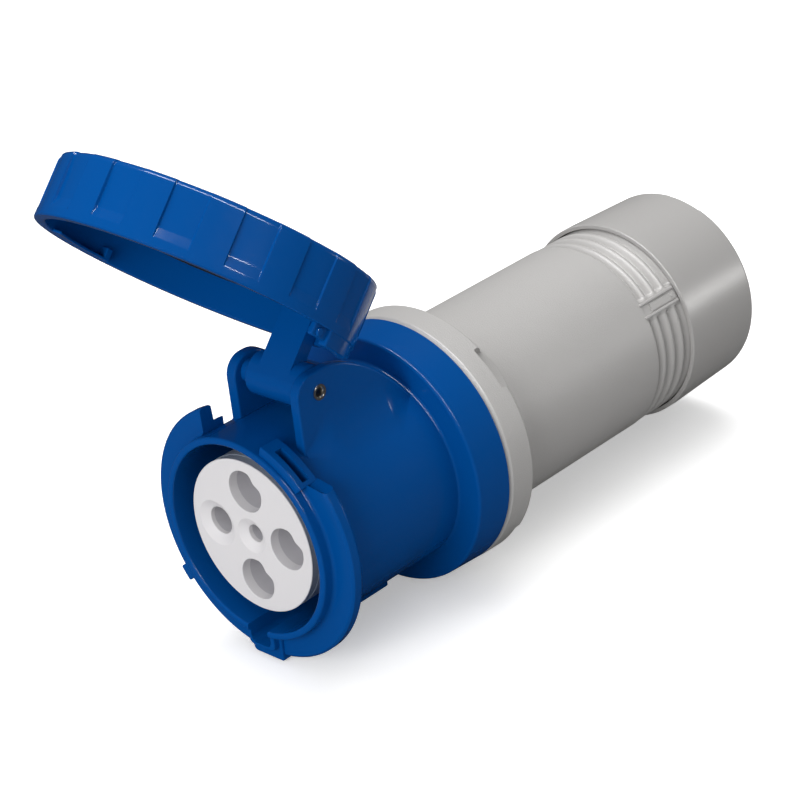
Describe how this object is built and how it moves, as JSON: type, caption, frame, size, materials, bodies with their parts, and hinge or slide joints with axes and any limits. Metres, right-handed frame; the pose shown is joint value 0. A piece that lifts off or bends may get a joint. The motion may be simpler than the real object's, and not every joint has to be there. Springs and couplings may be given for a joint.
{
  "type": "pin and sleeve connector",
  "caption": "Straight cable connector with a round socket face, keyed shroud, hinged lid with a turning bayonet ring, and a grey body with a screwed gland nut.",
  "frame": {"origin": "on the connector axis in the plane of the socket shroud's front rim", "axes": "+Y along the connector axis from the socket mouth to the cable end, +Z towards the lid hinge, +X to the right when looking into the socket"},
  "size_m": [0.1192, 0.3094, 0.2133],
  "materials": {
    "blue_housing": "gloss",
    "blue_lid": "gloss",
    "blue_ring": "gloss",
    "white_face": "satin",
    "slate_insert": "satin",
    "contact_brass": "satin",
    "spring_steel": "satin",
    "screw_steel": "bright",
    "pin_steel": "bright",
    "seal_rubber": "matt",
    "grey_body": "fine grain, satin",
    "grey_nut": "satin",
    "washer_plastic": "matt"
  },
  "bodies": {
    "connector": {"front_housing": "blue_housing", "face_insert": "white_face", "insert_carrier": "slate_insert", "insert_ring": "slate_insert", "carrier_plate": "slate_insert", "phase_holders": "slate_insert", "earth_holder": "slate_insert", "pilot_holder": "slate_insert", "phase_sleeves": "contact_brass", "earth_sleeve": "contact_brass", "pilot_sleeve": "contact_brass", "contact_springs": "spring_steel", "terminal_screws": "screw_steel", "insert_screws": "screw_steel", "hinge_pin": "pin_steel", "body_shell": "grey_body", "body_seal": "seal_rubber", "body_screws": "screw_steel", "thread_latch": "grey_nut", "cable_seal": "seal_rubber"},
    "lid": {"lid_cap": "blue_lid", "lid_gasket": "seal_rubber"},
    "ring": {"lid_ring": "blue_ring", "lid_snap_ring": "spring_steel"},
    "gland_washer": {"thrust_washer": "washer_plastic"},
    "gland": {"gland_nut": "grey_nut"}
  },
  "joints": [
    {"name": "lid_hinge", "type": "hinge", "parent": "connector", "child": "lid", "pos_m": [0, 0.026, 0.0555], "axis": [-1, 0, 0], "range_deg": [-132.3, 12]},
    {"name": "ring_turn", "type": "hinge", "parent": "lid", "child": "ring", "pos_m": [0, -0.01505, 0.09285], "axis": [0, -0.673, -0.7396], "range_deg": [-35, 0]},
    {"name": "gland_slide", "type": "slide", "parent": "connector", "child": "gland_washer", "axis": [0, 1, 0], "range_m": [0, 0.012]},
    {"name": "gland_turn", "type": "hinge", "parent": "gland_washer", "child": "gland", "pos_m": [0, 0.24, 0], "axis": [0, 1, 0], "range_deg": [0, 720]}
  ],
  "couplings": [
    {"joint": "gland_slide", "follows": "gland_turn", "m_per_rad": 0.00095493}
  ]
}
